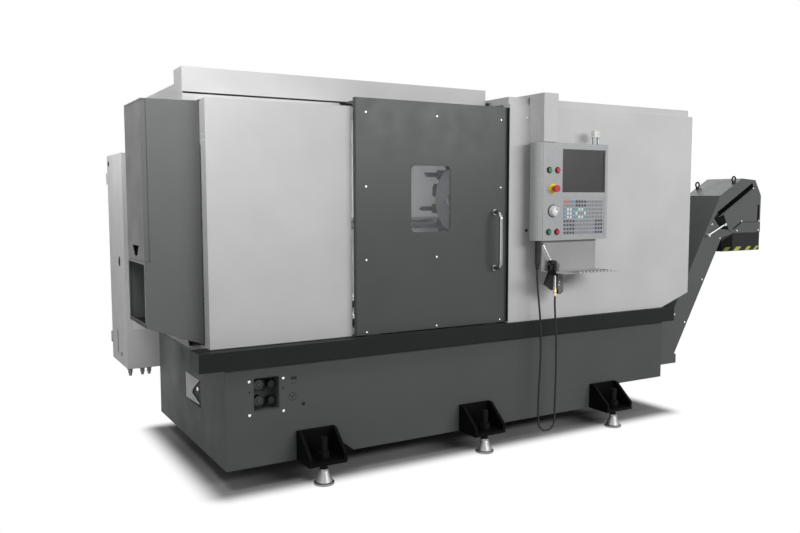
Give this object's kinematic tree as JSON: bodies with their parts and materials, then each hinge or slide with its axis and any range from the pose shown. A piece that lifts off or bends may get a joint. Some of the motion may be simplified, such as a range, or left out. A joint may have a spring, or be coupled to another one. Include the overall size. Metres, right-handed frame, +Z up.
{
  "type": "cnc turning lathe",
  "caption": "Enclosed slant-bed turning lathe with sliding door, indexing turret, chuck, tailstock, swivelling control pendant and an inclined chip conveyor at its end.",
  "frame": {"origin": "floor under the middle of the machine's box", "axes": "+X along the front to the right, +Y to the rear, +Z up"},
  "size_m": [4.3324, 2.153, 1.98],
  "materials": {
    "white_paint": "satin powder coat",
    "dark_paint": "satin powder coat",
    "base_paint": "satin enamel",
    "black_paint": "satin powder coat",
    "grey_paint": "satin powder coat",
    "conveyor_paint": "satin powder coat",
    "cast_iron": "machined and painted casting",
    "steel": "ground steel",
    "chrome": "polished",
    "black_plastic": "moulded",
    "pendant_plastic": "fine texture",
    "key_film": "printed film",
    "screen_glass": "display glass",
    "window_glass": "laminated pane",
    "red_plastic": "moulded",
    "green_plastic": "moulded",
    "dial_plastic": "moulded",
    "lens_plastic": "diffusing lens",
    "rubber": "extruded"
  },
  "bodies": {
    "machine": {"bed_casting": "cast_iron", "base_skirt": "base_paint", "front_rail": "black_paint", "left_front_panel": "white_paint", "right_front_panel": "white_paint", "left_wall": "white_paint", "right_wall": "white_paint", "rear_wall": "white_paint", "roof": "white_paint", "track_hood": "white_paint", "end_cover": "dark_paint", "headstock_guard": "grey_paint", "foot_brackets": "base_paint", "leveling_screws": "black_paint", "leveling_pads": "chrome", "hydraulic_pocket": "base_paint", "pressure_gauges": "black_plastic", "electrical_cabinet": "grey_paint", "cable_glands": "black_plastic", "pendant_arm": "white_paint", "headstock": "cast_iron", "guide_rails": "steel", "conveyor_housing": "conveyor_paint", "conveyor_belt": "steel", "discharge_chute": "black_paint", "torque_rod": "chrome"},
    "door": {"door_panel": "dark_paint", "door_window": "window_glass", "door_handle": "chrome"},
    "cabinet_door": {"cabinet_door": "grey_paint"},
    "knob_upper": {"pressure_knob_upper": "black_plastic"},
    "knob_lower": {"pressure_knob_lower": "black_plastic"},
    "spindle": {"spindle": "steel", "chuck_body": "steel"},
    "jaw_1": {"chuck_jaw_1": "steel"},
    "jaw_2": {"chuck_jaw_2": "steel"},
    "jaw_3": {"chuck_jaw_3": "steel"},
    "saddle": {"saddle": "cast_iron"},
    "cross_slide": {"cross_slide": "cast_iron"},
    "turret_head": {"turret_head": "cast_iron"},
    "turret": {"turret_disc": "steel", "tool_blocks": "black_paint", "cutting_tools": "steel"},
    "tailstock": {"tailstock": "cast_iron"},
    "live_center": {"live_center": "steel"},
    "pendant": {"pendant_housing": "pendant_plastic", "pendant_screen": "screen_glass", "keypad": "key_film", "beacon": "lens_plastic", "tool_tray": "grey_paint", "air_gun": "black_plastic", "strain_relief": "rubber", "air_hose": "rubber"},
    "e_stop": {"e_stop_button": "red_plastic"},
    "power_on": {"power_on_button": "green_plastic"},
    "power_off": {"power_off_button": "red_plastic"},
    "cycle_start": {"cycle_start_button": "green_plastic"},
    "feed_hold": {"feed_hold_button": "red_plastic"},
    "jog_dial": {"jog_dial": "dial_plastic"},
    "gun_lever": {"gun_lever": "black_plastic"}
  },
  "joints": [
    {"name": "door_slide", "type": "slide", "parent": "machine", "child": "door", "axis": [-1, 0, 0], "range_m": [0, 0.78]},
    {"name": "pendant_swivel", "type": "hinge", "parent": "machine", "child": "pendant", "pos_m": [-0.05525, -0.8795, 1.678], "axis": [0, 0, -1], "range_deg": [0, 90]},
    {"name": "cabinet_hinge", "type": "hinge", "parent": "machine", "child": "cabinet_door", "pos_m": [-2.00925, 1.0695, 0.997], "axis": [0, 0, -1], "range_deg": [0, 110]},
    {"name": "knob_upper_turn", "type": "hinge", "parent": "machine", "child": "knob_upper", "pos_m": [-1.62025, -0.7535, 0.49], "axis": [0, 1, 0], "continuous": true},
    {"name": "knob_lower_turn", "type": "hinge", "parent": "machine", "child": "knob_lower", "pos_m": [-1.62025, -0.7535, 0.412], "axis": [0, 1, 0], "continuous": true},
    {"name": "spindle_spin", "type": "hinge", "parent": "machine", "child": "spindle", "pos_m": [-1.21525, -0.4735, 0.93], "axis": [1, 0, 0], "continuous": true},
    {"name": "jaw_1_slide", "type": "slide", "parent": "spindle", "child": "jaw_1", "axis": [0, 0, 1], "range_m": [-0.0044, 0.0044]},
    {"name": "jaw_2_slide", "type": "slide", "parent": "spindle", "child": "jaw_2", "axis": [0, -0.866, -0.5], "range_m": [-0.0044, 0.0044]},
    {"name": "jaw_3_slide", "type": "slide", "parent": "spindle", "child": "jaw_3", "axis": [0, 0.866, -0.5], "range_m": [-0.0044, 0.0044]},
    {"name": "z_slide", "type": "slide", "parent": "machine", "child": "saddle", "axis": [1, 0, 0], "range_m": [-0.66, 0]},
    {"name": "x_slide", "type": "slide", "parent": "saddle", "child": "cross_slide", "axis": [0, 0.7071, 0.7071], "range_m": [-0.318, 0]},
    {"name": "y_slide", "type": "slide", "parent": "cross_slide", "child": "turret_head", "axis": [0, -0.7071, 0.7071], "range_m": [-0.05, 0.05]},
    {"name": "turret_index", "type": "hinge", "parent": "turret_head", "child": "turret", "pos_m": [-0.09025, -0.03792, 1.36558], "axis": [1, 0, 0], "continuous": true},
    {"name": "tailstock_slide", "type": "slide", "parent": "machine", "child": "tailstock", "axis": [1, 0, 0], "range_m": [-0.6, 0]},
    {"name": "center_spin", "type": "hinge", "parent": "tailstock", "child": "live_center", "pos_m": [0.47475, -0.4735, 0.93], "axis": [1, 0, 0], "continuous": true},
    {"name": "e_stop_push", "type": "slide", "parent": "pendant", "child": "e_stop", "axis": [0, 1, 0], "range_m": [0, 0.004], "stiffness_N_per_m": 900},
    {"name": "power_on_push", "type": "slide", "parent": "pendant", "child": "power_on", "axis": [0, 1, 0], "range_m": [0, 0.004], "stiffness_N_per_m": 900},
    {"name": "power_off_push", "type": "slide", "parent": "pendant", "child": "power_off", "axis": [0, 1, 0], "range_m": [0, 0.004], "stiffness_N_per_m": 900},
    {"name": "cycle_start_push", "type": "slide", "parent": "pendant", "child": "cycle_start", "axis": [0, 1, 0], "range_m": [0, 0.004], "stiffness_N_per_m": 900},
    {"name": "feed_hold_push", "type": "slide", "parent": "pendant", "child": "feed_hold", "axis": [0, 1, 0], "range_m": [0, 0.004], "stiffness_N_per_m": 900},
    {"name": "jog_turn", "type": "hinge", "parent": "pendant", "child": "jog_dial", "pos_m": [-0.01825, -0.9295, 1.302], "axis": [0, -1, 0], "continuous": true},
    {"name": "lever_squeeze", "type": "hinge", "parent": "pendant", "child": "gun_lever", "pos_m": [-0.02725, -0.9235, 0.9903], "axis": [0, -1, 0], "range_deg": [0, 5], "stiffness_Nm_per_rad": 1.5}
  ],
  "couplings": [
    {"joint": "jaw_2_slide", "follows": "jaw_1_slide", "ratio": 1},
    {"joint": "jaw_3_slide", "follows": "jaw_1_slide", "ratio": 1}
  ]
}
